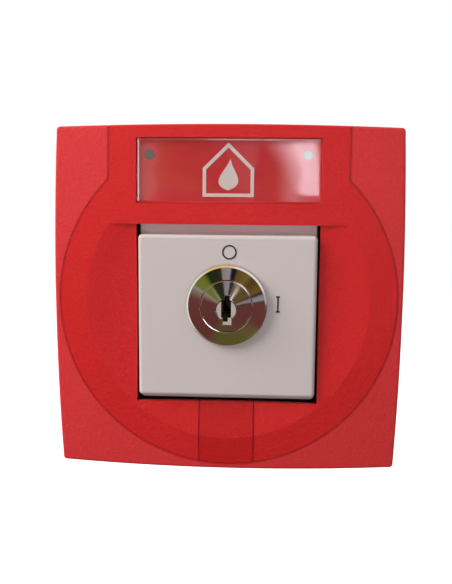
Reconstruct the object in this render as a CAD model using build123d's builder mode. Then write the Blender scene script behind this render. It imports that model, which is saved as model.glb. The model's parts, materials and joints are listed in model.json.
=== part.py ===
"""Large-format wall call point with a key-operated switch.

Frame: X right, Z up, -Y towards the person facing it, origin at the centre of the back face on the wall.
"Depth" below always means millimetres in front of the wall, so a point at depth d has y = -d.
"""

from build123d import *
from math import cos, radians, sin, sqrt, tan
import os

os.makedirs("parts", exist_ok=True)

# ---------------------------------------------------------------- driving dimensions, mm
case_width = 133.0  # across the middle of two opposite sides
case_depth = 36.0  # wall to the top of the domed front
side_bulge = 1.0  # middle of a side beyond its corners
corner_radius = 1.4
dome_radius = 700.0  # the front is part of a ball
front_edge_radius = 1.0
split_depth = 18.0  # back box below, front frame above
wall = 2.2  # housing walls and skins
rear_wall = 2.5

door_radius = 64.45  # middle of the joint round the door
band_half_width = 45.35  # the door's straight band, up to the top edge
joint_gap = 0.36
hinge_z, hinge_depth = 61.5, 27.5
hinge_sweep = 7.7  # nothing fixed comes closer to the hinge axis than this inside the band
pin_radius = 1.25
knuckle_radius = 3.2
skirt_back = 22.2  # how far back the door's top skirt reaches
rim_back = 27.4  # back of the door's rim elsewhere
lap_width, lap_thickness, lap_play = 2.2, 1.3, 0.3  # the door's thin edge lies over a ledge of the frame
ledge_thickness, ledge_top = 2.2, 55.2
rim_inset, rim_thickness = 2.65, 1.8  # the door's rim wall stands inside the ledge
groove_radius, groove_lift = 0.85, 0.62  # softens the joint: round section and its centre above the surface

dish_radius, dish_slope, dish_top = 53.8, 5.2, 29.3
window_half_width, window_bottom, window_top = 34.8, -39.4, 29.3
label_half_width, label_bottom, label_top = 34.7, 37.1, 61.5
spot_x, spot_z, spot_radius = 29.6, 55.1, 1.8  # the two indicator spots in the label

board_back, board_thickness = 11.0, 1.6
board_half_width, board_bottom, board_top = 40.0, -46.0, 58.0
base_half_width, base_bottom, base_top, base_front = 33.8, -38.8, 36.0, 29.5
cover_half_width, cover_bottom, cover_top, cover_front = 33.7, -36.5, 25.4, 36.0

lock_z = -0.8
barrel_radius, barrel_back = 11.0, 21.5
bezel_radius, bezel_step_radius, bezel_front = 15.4, 14.4, 40.5
head_radius, plug_radius = 9.7, 7.05  # bores; the plug itself runs with play inside them
running_play = 0.08
pit_radius, pit_depth, pit_drop = 4.6, 1.3, 1.1  # hollow round the keyway, below the lock axis
keyway_back = 24.0
cam_back, cam_front = 15.4, 19.0
cam_low_radius, plunger_travel = 10.0, 1.2
tip_gap = 0.15

tab_half_width, slot_half_width = 10.47, 10.83
latch_travel = 1.8

wall_screw_x, wall_screw_z, wall_screw_hole = 47.0, 40.0, 2.4
frame_screw_points = [(x, z) for x in (-55.0, 55.0) for z in (-20.0, 20.0)]
insert_screw_points = [(x, z) for x in (-27.0, 27.0) for z in (-31.5, 32.0)]
board_screw_points = [(-36.0, 53.0), (36.0, 53.0)]
cover_leg_points = [(x, z) for x in (-29.0, 29.0) for z in (-18.0, 14.0)]
retainer_screw_points = [(-18.0, -52.4), (18.0, -52.4)]

board_front = board_back + board_thickness
dome_centre = (0, dome_radius - case_depth, 0)
switch_face = cam_low_radius + plunger_travel + tip_gap + 1.45  # plunger side of each switch, from the lock axis


def front_plane(depth):
    """Work plane parallel to the wall: local x right, local y up, extruding towards the viewer."""
    return Plane.XZ.offset(depth)


def rectangle_between(x0, x1, y0, y1):
    """Rectangle between two corners, in the current sketch."""
    with Locations(((x0 + x1) / 2, (y0 + y1) / 2)):
        return Rectangle(abs(x1 - x0), abs(y1 - y0))


def block(x0, x1, z0, z1, back, front, mode=Mode.ADD):
    """Box between two depths, in the current part."""
    with Locations(((x0 + x1) / 2, -(back + front) / 2, (z0 + z1) / 2)):
        return Box(abs(x1 - x0), abs(front - back), abs(z1 - z0), mode=mode)


def rods(points, radius, back, front, mode=Mode.ADD):
    """Round bars along the depth, one at each (x, z), in the current part."""
    with Locations(*[(x, -(back + front) / 2, z) for x, z in points]):
        return Cylinder(radius, abs(front - back), rotation=(90, 0, 0), mode=mode)


def cross_rods(x0, x1, z, depth, radius, mode=Mode.ADD):
    """Round bar along X, in the current part."""
    with Locations(((x0 + x1) / 2, -depth, z)):
        return Cylinder(radius, abs(x1 - x0), rotation=(0, 90, 0), mode=mode)


def screws(points, shank_radius, tip, seat, head_radius, head_height, cross=0.0):
    """Pan-head screws along the depth: shank from `tip` to `seat`, then the head; a negative height faces the wall."""
    rods(points, shank_radius, tip, seat)
    rods(points, head_radius, seat, seat + head_height)
    floor_depth, top_depth = seat + 0.4 * head_height, seat + 2 * head_height
    for x, z in points:
        if cross:
            block(x - cross, x + cross, z - 0.3, z + 0.3, floor_depth, top_depth, Mode.SUBTRACT)
            block(x - 0.3, x + 0.3, z - cross, z + cross, floor_depth, top_depth, Mode.SUBTRACT)
        else:
            block(x - head_radius, x + head_radius, z - 0.4, z + 0.4, floor_depth, top_depth, Mode.SUBTRACT)


def save(part, name):
    part.label = name
    export_step(part, f"parts/{name}.step")


# ---------------------------------------------------------------- shapes that several pieces share
def case_outline(inset=0.0):
    """Square with bulging sides and rounded corners, drawn inset from the outside of the case."""
    half = case_width / 2 - inset
    corner = half - side_bulge
    with BuildSketch() as outline:
        with BuildLine():
            ThreePointArc((-corner, corner), (0, half), (corner, corner))
            ThreePointArc((corner, corner), (half, 0), (corner, -corner))
            ThreePointArc((corner, -corner), (0, -half), (-corner, -corner))
            ThreePointArc((-corner, -corner), (-half, 0), (-corner, corner))
        make_face()
        fillet(outline.vertices(), max(corner_radius - inset, 0.8))
    return outline.sketch


def door_outline(inset, edge_inset=None):
    """Circle with a straight band up to the top edge; edge_inset trims it to the case outline."""
    with BuildSketch() as outline:
        Circle(door_radius - inset)
        half = band_half_width - inset
        rectangle_between(-half, half, 0, case_width / 2 + 5)
        if edge_inset is not None:
            add(case_outline(edge_inset), mode=Mode.INTERSECT)
    return outline.sketch


def dish_space(lowered=0.0, top=dish_top):
    """What the shallow cone round the window takes out of the front, down to `lowered` under its surface."""
    dome_drop = dome_radius - sqrt(dome_radius**2 - dish_radius**2)
    rim_depth = case_depth - dome_drop - lowered
    slope = tan(radians(dish_slope))
    reach = dish_radius + 8
    with BuildPart() as space:
        with BuildSketch(Plane.XY):
            with BuildLine():
                Polyline(
                    (0, -(rim_depth - dish_radius * slope)),
                    (reach, -(rim_depth + 8 * slope)),
                    (reach, -(case_depth + 6)),
                    (0, -(case_depth + 6)),
                    close=True,
                )
            make_face()
        revolve(axis=Axis.Y)
        block(-reach - 1, reach + 1, -reach - 1, top, 0, case_depth + 10, Mode.INTERSECT)
    return space.part


def shell(x0, x1, z0, z1, under_back, under_front, rounding=0.0):
    """Curved sheet parallel to the dome, between two distances under its surface."""
    with BuildPart() as sheet:
        block(x0, x1, z0, z1, split_depth, case_depth + 2)
        if rounding:
            fillet(sheet.edges().filter_by(Axis.Y), rounding)
        with Locations(dome_centre):
            Sphere(dome_radius - under_front, mode=Mode.INTERSECT)
        with Locations(dome_centre):
            Sphere(dome_radius - under_back, mode=Mode.SUBTRACT)
    return sheet.part


def under_front(lowered):
    """Everything behind the door's front surface moved back by `lowered`."""
    with BuildPart() as behind:
        block(-case_width / 2, case_width / 2, -case_width / 2, case_width / 2, split_depth, case_depth + 2)
        with Locations(dome_centre):
            Sphere(dome_radius - lowered, mode=Mode.INTERSECT)
        add(dish_space(lowered, dish_top + lowered), mode=Mode.SUBTRACT)
    return behind.part


with BuildPart() as case_blank:
    with BuildSketch(front_plane(0)):
        add(case_outline())
    extrude(amount=case_depth + 2)
    with Locations(dome_centre):
        Sphere(dome_radius, mode=Mode.INTERSECT)
    fillet(case_blank.faces().sort_by(Axis.Y)[0].edges(), front_edge_radius)

# ---------------------------------------------------------------- back box
with BuildPart() as back_box:
    with BuildSketch(front_plane(0)):
        add(case_outline())
    extrude(amount=split_depth)
    chamfer(back_box.faces().sort_by(Axis.Y)[-1].edges(), 0.5)
    with BuildSketch(front_plane(rear_wall)):
        add(case_outline(wall))
    extrude(amount=split_depth, mode=Mode.SUBTRACT)
    # posts for the board, the insert and the frame
    rods(insert_screw_points, 3.4, rear_wall - 0.5, board_back)
    rods(board_screw_points, 3.0, rear_wall - 0.5, board_back)
    rods(frame_screw_points, 4.0, rear_wall - 0.5, split_depth)
    for side in (-1, 1):
        for z in (-20.0, 20.0):
            block(side * 57, side * 65, z - 0.8, z + 0.8, rear_wall - 0.5, 16.0)
        # stiffening ribs beside the board
        block(side * 43.2, side * 44.4, -30, 30, rear_wall - 0.5, 6.5)
    for z in (-57.0, 61.0):
        block(-34, 34, z - 0.6, z + 0.6, rear_wall - 0.5, 5.5)
    rods([(x, z) for x in (-wall_screw_x, wall_screw_x) for z in (-wall_screw_z, wall_screw_z)], 5.5, 1, 4)
    rods([(0, -20)], 12.5, 1, 4)
    # wall screws, rear cable entry, screw pilots
    rods(
        [(x, z) for x in (-wall_screw_x, wall_screw_x) for z in (-wall_screw_z, wall_screw_z)],
        wall_screw_hole,
        -1,
        5,
        Mode.SUBTRACT,
    )
    rods([(0, -20)], 10.0, -1, 5, Mode.SUBTRACT)
    rods(insert_screw_points, 1.45, 4.0, split_depth, Mode.SUBTRACT)
    rods(board_screw_points, 1.25, 4.0, split_depth, Mode.SUBTRACT)
    rods(frame_screw_points, 1.45, 4.0, split_depth + 1, Mode.SUBTRACT)
    # knock-out rings for surface cable, two above and two below
    for z in (-case_width / 2, case_width / 2):
        for x in (-24.0, 24.0):
            with Locations((x, -9.5, z)):
                Cylinder(8.0, 1.6, mode=Mode.SUBTRACT)
            with Locations((x, -9.5, z)):
                Cylinder(7.2, 1.6)
    with BuildSketch(front_plane(0)):
        add(case_outline())
    extrude(amount=split_depth, mode=Mode.INTERSECT)
save(back_box.part, "back_box")

# ---------------------------------------------------------------- front frame
clear_half = band_half_width + joint_gap / 2

def straight_groove(x, z0, z1):
    """Shallow round groove down the dome, parallel to the middle plane."""
    with BuildPart() as groove:
        with Locations((x, dome_centre[1], 0)):
            Torus(sqrt(dome_radius**2 - x**2) + groove_lift, groove_radius, rotation=(0, 90, 0))
        block(x - 2, x + 2, z0, z1, 0, 2 * case_depth, Mode.INTERSECT)
    return groove.part


# shallow grooves along the joint: round the circle, down the straight parts and over the top edge
knee_z = sqrt(door_radius**2 - band_half_width**2)
slot_middle = (tab_half_width + slot_half_width) / 2
joint_depth = case_depth - dome_radius + sqrt(dome_radius**2 - door_radius**2)
top_at_joint = case_width / 2 - side_bulge * (2 * band_half_width / case_width) ** 2

with BuildPart() as joint_groove:
    with Locations((0, -(joint_depth + groove_lift), 0)):
        Torus(door_radius, groove_radius, rotation=(90, 0, 0))
    block(-band_half_width, band_half_width, 0, case_width, 0, 2 * case_depth, Mode.SUBTRACT)
    for side in (-1, 1):
        add(straight_groove(side * band_half_width, knee_z, case_width))
        add(straight_groove(side * slot_middle, -door_radius, -dish_radius))
    rods(
        [(-band_half_width, top_at_joint + groove_lift), (band_half_width, top_at_joint + groove_lift)],
        groove_radius,
        skirt_back,
        case_depth,
    )

with BuildPart() as rim_ring:
    with BuildSketch(front_plane(split_depth + 5)):
        add(door_outline(-joint_gap / 2 - 2.0, 0))
    extrude(amount=case_depth)
    block(-band_half_width - 3, band_half_width + 3, 46, case_width, split_depth, split_depth + 5)

with BuildPart() as frame_hollow:
    with BuildSketch(front_plane(split_depth)):
        add(case_outline(wall))
    extrude(amount=case_depth)
    with Locations(dome_centre):
        Sphere(dome_radius - wall, mode=Mode.INTERSECT)
    add(rim_ring.part, mode=Mode.SUBTRACT)

# the ledge follows the dome under the door's thin edge and stops short of the hinge
with BuildPart() as ledge:
    with BuildSketch(front_plane(split_depth)):
        add(door_outline(-joint_gap / 2 - 1))
        add(door_outline(lap_width), mode=Mode.SUBTRACT)
    extrude(amount=case_depth)
    under_lap = lap_thickness + lap_play
    with Locations(dome_centre):
        Sphere(dome_radius - under_lap, mode=Mode.INTERSECT)
    with Locations(dome_centre):
        Sphere(dome_radius - under_lap - ledge_thickness, mode=Mode.SUBTRACT)
    block(-case_width, case_width, -case_width, ledge_top, 0, case_depth, Mode.INTERSECT)
    cross_rods(-case_width, case_width, hinge_z, hinge_depth, hinge_sweep, Mode.SUBTRACT)

with BuildPart() as door_opening:
    with BuildSketch(front_plane(split_depth - 1)):
        add(door_outline(-joint_gap / 2))
    extrude(amount=case_depth)
    # the strip over the band closes the case behind the hinge
    block(-case_width, case_width, case_width / 2 - wall, case_width, 0, hinge_depth, Mode.SUBTRACT)
    cross_rods(-clear_half, clear_half, hinge_z, hinge_depth, hinge_sweep)
    add(ledge.part, mode=Mode.SUBTRACT)

with BuildPart() as front_frame:
    with BuildSketch(front_plane(split_depth)):
        add(case_outline())
    extrude(amount=case_depth)
    add(case_blank.part, mode=Mode.INTERSECT)
    add(frame_hollow.part, mode=Mode.SUBTRACT)
    add(door_opening.part, mode=Mode.SUBTRACT)
    add(joint_groove.part, mode=Mode.SUBTRACT)
    # pin bosses in the cheeks beside the band
    for side in (-1, 1):
        cross_rods(side * clear_half, side * (clear_half + 5.5), hinge_z, hinge_depth, knuckle_radius)
        cross_rods(side * clear_half, side * (clear_half + 4.2), hinge_z, hinge_depth, pin_radius, Mode.SUBTRACT)
    # lugs onto the box posts
    for x, z in frame_screw_points:
        side = 1 if x > 0 else -1
        rods([(x, z)], 4.5, split_depth, split_depth + 2.5)
        block(x, side * (case_width / 2 - 1), z - 4.5, z + 4.5, split_depth, split_depth + 2.5)
    rods(frame_screw_points, 1.7, split_depth - 1, split_depth + 4, Mode.SUBTRACT)
    # lip that locates the frame inside the box
    with BuildSketch(front_plane(split_depth - 1.4)):
        add(case_outline(wall + 0.2))
        add(case_outline(wall + 1.4), mode=Mode.SUBTRACT)
    extrude(amount=1.4 + 2.0)
    # slot for the release tool, in line with the latch hook
    block(-4, 4, -case_width / 2 - 1, -63.9, 26.8, 29.2, Mode.SUBTRACT)
save(front_frame.part, "front_frame")

with BuildPart() as frame_screws:
    screws(frame_screw_points, 1.45, 6.0, split_depth + 2.5, 2.8, 1.9, cross=1.5)
save(frame_screws.part, "frame_screws")

for side, name in ((-1, "left"), (1, "right")):
    with BuildPart() as hinge_pin:
        cross_rods(side * 38.0, side * (clear_half + 4.2), hinge_z, hinge_depth, pin_radius)
        chamfer(hinge_pin.edges(), 0.25)
    save(hinge_pin.part, f"hinge_pin_{name}")

# ---------------------------------------------------------------- door
web_low, web_high = ledge_top + 0.3, ledge_top + 1.8  # joins the inset rim wall to the wall at the hinge

with BuildPart() as door_hollow:
    with BuildSketch(front_plane(skirt_back - 1)):
        add(door_outline(rim_inset + rim_thickness, wall))
    extrude(amount=case_depth)
    block(-43.4, 43.4, web_high, case_width / 2 - wall, skirt_back - 1, case_depth)
    add(under_front(wall), mode=Mode.INTERSECT)
    # solid tray under the label
    add(shell(-label_half_width - 2, label_half_width + 2, label_bottom - 2, 66, 4.2, -1), mode=Mode.SUBTRACT)

with BuildPart() as lap_space:
    with BuildSketch(front_plane(skirt_back - 1)):
        add(door_outline(-1))
        add(door_outline(rim_inset), mode=Mode.SUBTRACT)
    extrude(amount=case_depth)
    block(-case_width, case_width, -case_width, web_low, 0, case_depth, Mode.INTERSECT)
    with Locations(dome_centre):
        Sphere(dome_radius - lap_thickness, mode=Mode.INTERSECT)

with BuildPart() as door_skin:
    with BuildSketch(front_plane(skirt_back)):
        add(door_outline(joint_gap / 2, 0))
    extrude(amount=case_depth)
    add(case_blank.part, mode=Mode.INTERSECT)
    add(dish_space(), mode=Mode.SUBTRACT)
    add(door_hollow.part, mode=Mode.SUBTRACT)
    add(lap_space.part, mode=Mode.SUBTRACT)
    add(joint_groove.part, mode=Mode.SUBTRACT)
    block(-case_width, case_width, -case_width, hinge_z - 5, 0, rim_back, Mode.SUBTRACT)

with BuildPart() as front_door:
    add(door_skin.part)
    block(-window_half_width, window_half_width, window_bottom, window_top, 0, case_depth + 5, Mode.SUBTRACT)
    block(-slot_half_width, slot_half_width, -case_width, window_bottom + 1, 0, case_depth + 5, Mode.SUBTRACT)
    add(shell(-label_half_width, label_half_width, label_bottom, label_top, 2.3, -1), mode=Mode.SUBTRACT)
    rods([(-spot_x, spot_z), (spot_x, spot_z)], spot_radius + 0.05, 0, case_depth, Mode.SUBTRACT)
    for side in (-1, 1):
        # hinge knuckles
        cross_rods(side * 37.5, side * (band_half_width - joint_gap / 2), hinge_z, hinge_depth, knuckle_radius)
        cross_rods(side * 37.4, side * case_width, hinge_z, hinge_depth, pin_radius + 0.05, Mode.SUBTRACT)
        # rails in front of the latch's flange
        block(side * 12.8, side * 15.4, -56.4, -48.2, 29.3, 32.3)
    rods(retainer_screw_points, 2.4, 27.5, 32.3)
    rods(retainer_screw_points, 0.95, 27.0, 31.0, Mode.SUBTRACT)
save(front_door.part, "front_door")

with BuildPart() as label_card:
    add(shell(-label_half_width + 0.2, label_half_width - 0.2, label_bottom + 0.2, label_top - 0.2, 2.25, 2.05))
    rods([(-spot_x, spot_z), (spot_x, spot_z)], spot_radius + 0.35, 0, case_depth, Mode.SUBTRACT)
save(label_card.part, "label_card")

with BuildPart() as label_cover:
    add(shell(-label_half_width + 0.2, label_half_width - 0.2, label_bottom + 0.2, label_top - 0.2, 1.85, 0.35))
    chamfer(label_cover.faces().sort_by(Axis.Y)[0].edges(), 0.7)
save(label_cover.part, "label_cover")

# plain gable outline with a flame inside it
with BuildPart() as fire_symbol:
    with BuildSketch(front_plane(split_depth)):
        with BuildLine():
            Polyline((-9.6, 39.6), (9.6, 39.6), (9.6, 50.2), (0, 59.6), (-9.6, 50.2), close=True)
        make_face()
        offset(amount=-1.3, kind=Kind.INTERSECTION, mode=Mode.SUBTRACT)
        with BuildLine():
            flame = Spline((0, 42.0), (-3.6, 45.4), (-1.6, 49.6), (1.0, 55.0))
            Spline(flame @ 1, (1.9, 50.4), (3.7, 46.0), flame @ 0)
        make_face()
    extrude(amount=case_depth)
    with Locations(dome_centre):
        Sphere(dome_radius - 1.93, mode=Mode.INTERSECT)
    with Locations(dome_centre):
        Sphere(dome_radius - 2.05, mode=Mode.SUBTRACT)
save(fire_symbol.part, "fire_symbol")

for side, name in ((-1, "left"), (1, "right")):
    with BuildPart() as light_guide:
        rods([(side * spot_x, spot_z)], spot_radius, 20.0, 31.2)
        rods([(side * spot_x, spot_z)], 2.7, 27.7, 28.7)
        chamfer(light_guide.faces().sort_by(Axis.Y)[-1].edges(), 0.3)
    save(light_guide.part, f"light_guide_{name}")

# ---------------------------------------------------------------- latch under the window
with BuildPart() as latch_wings:
    add(under_front(wall + 0.3))
    add(under_front(wall + 1.4), mode=Mode.SUBTRACT)
    block(-12.4, 12.4, -57.2, -41.0, split_depth, case_depth, Mode.INTERSECT)

with BuildPart() as door_latch:
    add(door_skin.part)
    block(-tab_half_width, tab_half_width, -case_width, window_bottom, 0, case_depth + 5, Mode.INTERSECT)
    # the door's own rim wall stops at the slot
    block(-20, 20, -case_width, -57.5, 0, 30.9, Mode.SUBTRACT)
    add(latch_wings.part)
    block(-tab_half_width, tab_half_width, -57.2, -41.0, 30.0, 30.9)
    for side in (-1, 1):
        block(side * 3.4, side * 5.0, -57.2, -48.2, 28.0, 32.0)
    block(-13.9, 13.9, -57.2, -48.2, 27.8, 29.1)
    block(-1.9, 1.9, -55.6, -49.2, 27.0, 29.5, Mode.SUBTRACT)
    # hook that catches behind the frame's ledge, with a lead-in for closing
    block(-5.0, 5.0, -61.4, -59.6, 26.6, 32.0)
    block(-5.0, 5.0, -63.4, -59.6, 26.6, 28.9)
    with BuildSketch(Plane.YZ.offset(-6)):
        Polygon((-26.0, -64.0), (-26.0, -61.2), (-28.2, -64.0), align=None)
    extrude(amount=12, mode=Mode.SUBTRACT)
save(door_latch.part, "door_latch")

with BuildPart() as latch_retainer:
    block(-19.9, 19.9, -56.4, -48.4, 26.2, 27.5)
    fillet(latch_retainer.edges().filter_by(Axis.Y), 1.5)
    block(-1.7, 1.7, -55.7, -50.2, 26.0, 28.0, Mode.SUBTRACT)
    block(-1.7, 1.7, -50.2, -49.4, 26.2, 29.4)
    rods(retainer_screw_points, 1.1, 26.0, 28.0, Mode.SUBTRACT)
save(latch_retainer.part, "latch_retainer")

with BuildPart() as retainer_screws:
    screws(retainer_screw_points, 0.95, 30.6, 26.2, 1.9, -1.2, cross=1.1)
save(retainer_screws.part, "retainer_screws")

spring_length, spring_coils = 4.9, 4
with BuildPart() as latch_spring:
    with BuildLine() as coil:
        Helix(spring_length / spring_coils, spring_length, 1.1, center=(0, -28.3, -55.37))
    with BuildSketch(Plane(coil.line @ 0, z_dir=coil.line % 0)):
        Circle(0.2)
    sweep(is_frenet=True)
save(latch_spring.part, "latch_spring")

# ---------------------------------------------------------------- board and what it carries
with BuildPart() as circuit_board:
    block(-board_half_width, board_half_width, board_bottom, board_top, board_back, board_front)
    fillet(circuit_board.edges().filter_by(Axis.Y), 2.0)
    rods(insert_screw_points, 1.6, 0, case_depth, Mode.SUBTRACT)
    rods(board_screw_points, 1.5, 0, case_depth, Mode.SUBTRACT)
    rods([(x, lock_z + z) for x in (-18.3, 18.3) for z in (-8.0, 8.0)], 1.1, 0, case_depth, Mode.SUBTRACT)
save(circuit_board.part, "circuit_board")

with BuildPart() as board_screws:
    screws(board_screw_points, 1.25, 5.0, board_front, 2.5, 1.6, cross=1.4)
save(board_screws.part, "board_screws")

terminal_points = [(-17.78 + 5.08 * i, 45.0) for i in range(8)]
with BuildPart() as terminal_block:
    block(-20.4, 20.4, 39.5, 50.5, board_front, board_front + 10.0)
    chamfer(terminal_block.faces().sort_by(Axis.Y)[0].edges().filter_by(Axis.X), 1.2)
    rods(terminal_points, 1.9, board_front + 5.0, case_depth, Mode.SUBTRACT)
    for x, z in terminal_points:
        block(x - 1.7, x + 1.7, 44.0, 52.0, board_front + 1.0, board_front + 4.6, Mode.SUBTRACT)
save(terminal_block.part, "terminal_block")

with BuildPart() as terminal_screws:
    screws(terminal_points, 1.2, board_front + 5.0, board_front + 6.4, 1.8, 1.8)
save(terminal_screws.part, "terminal_screws")

with BuildPart() as indicator_leds:
    rods([(-spot_x, spot_z), (spot_x, spot_z)], 1.5, board_front, board_front + 3.6)
    rods([(-spot_x, spot_z), (spot_x, spot_z)], 1.85, board_front, board_front + 0.9)
    with Locations((-spot_x, -board_front - 3.6, spot_z), (spot_x, -board_front - 3.6, spot_z)):
        Sphere(1.5)
save(indicator_leds.part, "indicator_leds")

with BuildPart() as board_resistors:
    with Locations(*[(-9.0 + 6.0 * i, -board_front - 1.2, -30.0) for i in range(4)]):
        Cylinder(1.2, 6.4)
save(board_resistors.part, "board_resistors")

for side, name in ((-1, "left"), (1, "right")):
    centre = side * (switch_face + 5.3)
    with BuildPart() as microswitch:
        block(centre - 5.3, centre + 5.3, lock_z - 10, lock_z + 10, board_front, board_front + 6.4)
        fillet(microswitch.edges().filter_by(Axis.Y), 0.8)
        rods([(side * 18.3, lock_z - 8.0), (side * 18.3, lock_z + 8.0)], 1.1, 0, case_depth, Mode.SUBTRACT)
        block(
            side * (switch_face - 1),
            side * (switch_face + 3.6),
            lock_z - 1.6,
            lock_z + 1.6,
            board_front + 2.1,
            board_front + 4.3,
            Mode.SUBTRACT,
        )
    save(microswitch.part, f"microswitch_{name}")

    # pressed on the left, free on the right while the key stands at the upper mark
    tip = cam_low_radius + tip_gap + (plunger_travel if side < 0 else 0)
    with BuildPart() as plunger:
        block(side * tip, side * (tip + 4.6), lock_z - 1.5, lock_z + 1.5, board_front + 2.2, board_front + 4.2)
        nose = plunger.faces().sort_by(Axis.X)[-1 if side < 0 else 0]
        fillet(nose.edges().filter_by(Axis.Y), 0.9)
    save(plunger.part, f"plunger_{name}")

switch_screw_points = [(side * 18.3, lock_z + z) for side in (-1, 1) for z in (-8.0, 8.0)]
with BuildPart() as switch_screws:
    screws(switch_screw_points, 1.05, board_back - 3.0, board_front + 6.4, 2.0, 1.3)
    rods(switch_screw_points, 1.9, board_back - 1.6, board_back)
save(switch_screws.part, "switch_screws")

with BuildPart() as switch_terminals:
    for side in (-1, 1):
        for z in (-6.5, 0.0, 6.5):
            outer = side * (switch_face + 10.6)
            block(outer, outer + side * 4.0, lock_z + z - 1.2, lock_z + z + 1.2, board_front + 2.9, board_front + 3.5)
save(switch_terminals.part, "switch_terminals")

# ---------------------------------------------------------------- insert and plate
with BuildPart() as insert_base:
    block(-base_half_width, base_half_width, base_bottom, base_top, board_front, base_front)
    fillet(insert_base.edges().filter_by(Axis.Y), 1.5)
    chamfer(insert_base.faces().sort_by(Axis.Y)[0].edges(), 0.4)
    block(
        1.6 - base_half_width,
        base_half_width - 1.6,
        base_bottom + 1.6,
        base_top - 1.6,
        0,
        base_front - 1.7,
        Mode.SUBTRACT,
    )
    rods(insert_screw_points, 3.8, board_front, base_front - 0.5)
    for x in (-14.0, 14.0):
        block(x - 0.6, x + 0.6, base_bottom + 0.5, -17.0, 22.0, base_front - 0.5)
        block(x - 0.6, x + 0.6, 15.0, base_top - 0.5, 22.0, base_front - 0.5)
    rods([(0, lock_z)], barrel_radius + 0.7, 0, case_depth, Mode.SUBTRACT)
    rods(insert_screw_points, 1.6, 0, case_depth, Mode.SUBTRACT)
    rods(insert_screw_points, 2.6, base_front - 1.8, case_depth, Mode.SUBTRACT)
    for x, z in cover_leg_points:
        side = 1 if x > 0 else -1
        block(x - side * 1.0, x + side * 1.9, z - 2.2, z + 2.2, 0, case_depth, Mode.SUBTRACT)
    # cable passes out at the top towards the terminals
    block(-8.0, 8.0, base_top - 3, base_top + 1, board_front - 1, board_front + 5.0, Mode.SUBTRACT)
save(insert_base.part, "insert_base")

with BuildPart() as insert_screws:
    screws(insert_screw_points, 1.45, 5.0, base_front - 1.8, 2.4, 1.7, cross=1.4)
save(insert_screws.part, "insert_screws")

with BuildPart() as switch_cover:
    block(-cover_half_width, cover_half_width, cover_bottom, cover_top, base_front, cover_front)
    fillet(switch_cover.edges().filter_by(Axis.Y), 1.5)
    fillet(switch_cover.faces().sort_by(Axis.Y)[0].edges(), 1.4)
    block(
        wall - cover_half_width,
        cover_half_width - wall,
        cover_bottom + wall,
        cover_top - wall,
        0,
        cover_front - wall,
        Mode.SUBTRACT,
    )
    # snap legs through the insert
    for x, z in cover_leg_points:
        side = 1 if x > 0 else -1
        block(x - 0.7, x + 0.7, z - 1.9, z + 1.9, 25.4, cover_front - 1)
        with BuildSketch(Plane.XY.offset(z - 1.9)):
            Polygon(
                (x + side * 0.5, -27.6), (x + side * 1.6, -27.4), (x + side * 0.7, -25.4), (x, -25.4), align=None
            )
        extrude(amount=3.8)
    rods([(0, lock_z)], barrel_radius + 0.15, 0, case_depth + 1, Mode.SUBTRACT)
    block(-1.65, 1.65, lock_z + 8, lock_z + 12.7, 0, case_depth + 1, Mode.SUBTRACT)
save(switch_cover.part, "switch_cover")

with BuildPart() as off_mark:
    with BuildSketch(front_plane(cover_front)):
        with Locations((0.8, 19.1)):
            Circle(2.75)
            Circle(2.2, mode=Mode.SUBTRACT)
    extrude(amount=0.12)
save(off_mark.part, "off_mark")

with BuildPart() as on_mark:
    with BuildSketch(front_plane(cover_front)):
        with Locations((19.25, -0.35)):
            Rectangle(0.6, 6.25)
        with Locations((19.25, 2.5), (19.25, -3.2)):
            Rectangle(1.5, 0.55)
    extrude(amount=0.12)
save(on_mark.part, "on_mark")

# ---------------------------------------------------------------- key switch
with BuildPart() as lock_barrel:
    with BuildSketch(Plane.XY.offset(lock_z)):
        with BuildLine():
            Polyline(
                (plug_radius, -barrel_back),
                (barrel_radius - 0.6, -barrel_back),
                (barrel_radius, -(barrel_back + 0.6)),
                (barrel_radius, -cover_front),
                (bezel_radius, -cover_front),
                (bezel_radius, -(cover_front + 1.6)),
                (bezel_radius - 0.25, -(cover_front + 2.4)),
                (bezel_step_radius, -(cover_front + 3.0)),
                (head_radius + 0.25, -bezel_front),
                (head_radius, -(bezel_front - 0.25)),
                (head_radius, -cover_front),
                (plug_radius, -cover_front),
                close=True,
            )
        make_face()
    revolve(axis=Axis((0, 0, lock_z), (0, 1, 0)))
    block(-1.5, 1.5, lock_z + 10.5, lock_z + 12.5, cover_front - wall, cover_front + 0.5)
save(lock_barrel.part, "lock_barrel")

with BuildPart() as lock_washer:
    rods([(0, lock_z)], 14.2, cover_front - wall - 0.6, cover_front - wall)
    rods([(0, lock_z)], barrel_radius + 0.1, 0, case_depth, Mode.SUBTRACT)
    block(-1.8, 1.8, lock_z + 8, lock_z + 12.8, 0, case_depth, Mode.SUBTRACT)
save(lock_washer.part, "lock_washer")

with BuildPart() as lock_nut:
    with BuildSketch(front_plane(cover_front - wall - 3.8)):
        with Locations((0, lock_z)):
            RegularPolygon(15.4, 6)
            Circle(barrel_radius + 0.02, mode=Mode.SUBTRACT)
    extrude(amount=3.2)
save(lock_nut.part, "lock_nut")

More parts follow.
